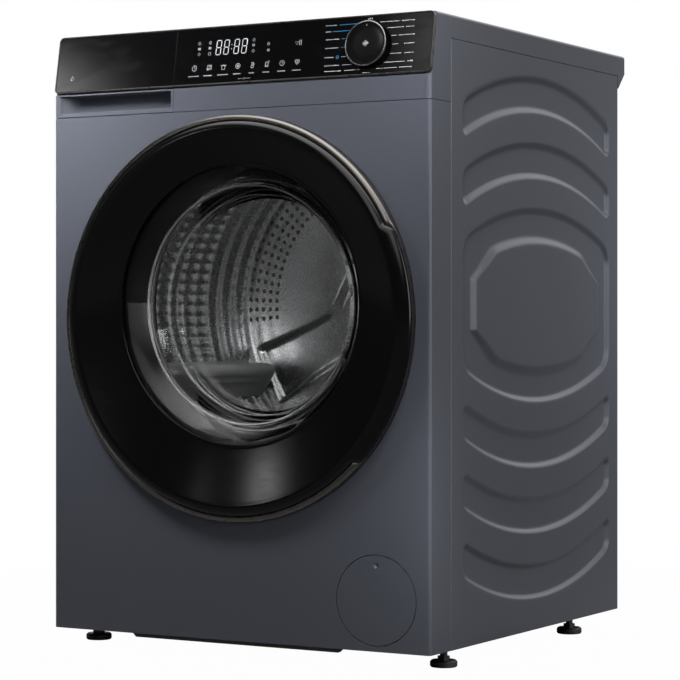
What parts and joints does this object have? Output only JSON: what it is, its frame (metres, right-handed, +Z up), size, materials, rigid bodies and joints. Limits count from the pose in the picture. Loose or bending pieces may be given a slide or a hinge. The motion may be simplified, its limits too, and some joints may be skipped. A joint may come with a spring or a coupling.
{
  "type": "front load washing machine",
  "caption": "Free-standing front load washing machine with hinged porthole door, detergent drawer, programme knob, suspended tub, belt-driven drum and levelling feet.",
  "frame": {"origin": "middle of the machine's footprint, from the door's bulge to the top cover's rear edge, on the floor under the feet", "axes": "+Z is up, the front looks along -Y, and +X is to the right for someone who faces the front, so the knob is on +X"},
  "size_m": [0.595, 0.643, 0.8501],
  "materials": {
    "painted_steel": "slate blue-grey painted sheet steel, satin",
    "paint_plastic": "moulding in the cabinet's slate blue-grey",
    "black_glass": "black back-printed glass",
    "black_gloss": "piano black gloss moulding",
    "champagne": "champagne metal trim, satin",
    "clear_glass": "clear pressed glass",
    "stainless": "stainless steel",
    "zinc_steel": "zinc plated steel",
    "white_plastic": "white polypropylene",
    "grey_plastic": "grey plastic",
    "dark_plastic": "dark grey plastic",
    "grey_rubber": "grey rubber bellows",
    "counterweight": "cast counterweight",
    "cast_aluminium": "die-cast aluminium",
    "board_green": "circuit board",
    "softener_blue": "blue plastic"
  },
  "bodies": {
    "cabinet": {"side_panel_left": "painted_steel", "side_panel_right": "painted_steel", "front_panel": "painted_steel", "rear_panel": "painted_steel", "rear_access_cover": "painted_steel", "top_cover": "paint_plastic", "base_frame": "dark_plastic", "cross_brace": "zinc_steel", "console_housing": "paint_plastic", "control_glass": "black_glass", "panel_trim": "champagne", "control_board": "board_green", "dispenser_housing": "white_plastic", "inlet_valve": "white_plastic", "inlet_hose": "grey_rubber", "drain_pump": "grey_plastic", "drain_hose": "grey_plastic", "door_gasket": "grey_rubber", "gasket_clamp": "stainless", "door_lock": "white_plastic", "hinge_bracket": "zinc_steel", "damper_cylinders": "dark_plastic", "suspension_springs": "zinc_steel", "sump_hose": "grey_rubber", "fill_hose": "grey_rubber", "transit_plugs": "grey_plastic", "power_gland": "dark_plastic"},
    "door": {"door_ring": "champagne", "door_cover": "black_gloss", "door_inner_frame": "grey_plastic", "door_glass": "clear_glass", "hinge_leaf": "zinc_steel", "hinge_pin": "stainless"},
    "latch": {"latch_hook": "zinc_steel"},
    "drawer": {"drawer_front": "paint_plastic", "drawer_glass": "black_glass", "drawer_trim": "champagne", "drawer_tray": "white_plastic", "siphon_cap": "softener_blue"},
    "knob": {"program_knob": "black_gloss"},
    "flap": {"filter_flap": "paint_plastic"},
    "filter": {"pump_filter": "white_plastic"},
    "tub": {"tub_front": "white_plastic", "tub_rear": "white_plastic", "counterweights": "counterweight", "drum_bearings": "stainless", "heater": "stainless", "drive_motor": "cast_aluminium", "drive_belt": "grey_rubber", "damper_rods": "zinc_steel"},
    "drum": {"drum_wall": "stainless", "drum_back": "stainless", "drum_lifters": "white_plastic", "drum_spider": "cast_aluminium", "drum_pulley": "cast_aluminium"},
    "rotor": {"motor_pulley": "stainless"},
    "front_left_foot": {"foot_front_left": "dark_plastic"},
    "front_right_foot": {"foot_front_right": "dark_plastic"},
    "rear_left_foot": {"foot_rear_left": "dark_plastic"},
    "rear_right_foot": {"foot_rear_right": "dark_plastic"}
  },
  "joints": [
    {"name": "door_hinge", "type": "hinge", "parent": "cabinet", "child": "door", "pos_m": [-0.255, -0.3105, 0.455], "axis": [0, 0, -1], "range_deg": [0, 130]},
    {"name": "latch_pivot", "type": "hinge", "parent": "door", "child": "latch", "pos_m": [0.234, -0.3015, 0.455], "axis": [-1, 0, 0], "range_deg": [0, 8], "stiffness_Nm_per_rad": 0.5, "springref_deg": -8.59},
    {"name": "drawer_slide", "type": "slide", "parent": "cabinet", "child": "drawer", "axis": [0, -1, 0], "range_m": [0, 0.24]},
    {"name": "knob_turn", "type": "hinge", "parent": "cabinet", "child": "knob", "pos_m": [0.203, -0.2945, 0.81], "axis": [0, -0.985, 0.1724], "continuous": true},
    {"name": "flap_hinge", "type": "hinge", "parent": "cabinet", "child": "flap", "pos_m": [0.218, -0.3011, 0.033], "axis": [1, 0, 0], "range_deg": [0, 100]},
    {"name": "filter_turn", "type": "hinge", "parent": "cabinet", "child": "filter", "pos_m": [0.218, -0.2778, 0.0905], "axis": [0, -1, 0], "range_deg": [0, 360]},
    {"name": "tub_bounce", "type": "slide", "parent": "cabinet", "child": "tub", "axis": [0, 0, 1], "range_m": [-0.008, 0.008], "stiffness_N_per_m": 16000, "springref_m": 0.02324, "deforming": ["suspension_springs", "fill_hose", "sump_hose", "door_gasket"]},
    {"name": "drum_spin", "type": "hinge", "parent": "tub", "child": "drum", "pos_m": [0.004, 0.1985, 0.474], "axis": [0, 1, 0], "continuous": true},
    {"name": "motor_spin", "type": "hinge", "parent": "tub", "child": "rotor", "pos_m": [0.11, 0.1985, 0.15], "axis": [0, 1, 0], "continuous": true},
    {"name": "front_left_foot_screw", "type": "slide", "parent": "cabinet", "child": "front_left_foot", "axis": [0, 0, 1], "range_m": [-0.01, 0.008]},
    {"name": "front_right_foot_screw", "type": "slide", "parent": "cabinet", "child": "front_right_foot", "axis": [0, 0, 1], "range_m": [-0.01, 0.008]},
    {"name": "rear_left_foot_screw", "type": "slide", "parent": "cabinet", "child": "rear_left_foot", "axis": [0, 0, 1], "range_m": [-0.01, 0.008]},
    {"name": "rear_right_foot_screw", "type": "slide", "parent": "cabinet", "child": "rear_right_foot", "axis": [0, 0, 1], "range_m": [-0.01, 0.008]}
  ],
  "couplings": [
    {"joint": "motor_spin", "follows": "drum_spin", "ratio": 15}
  ]
}
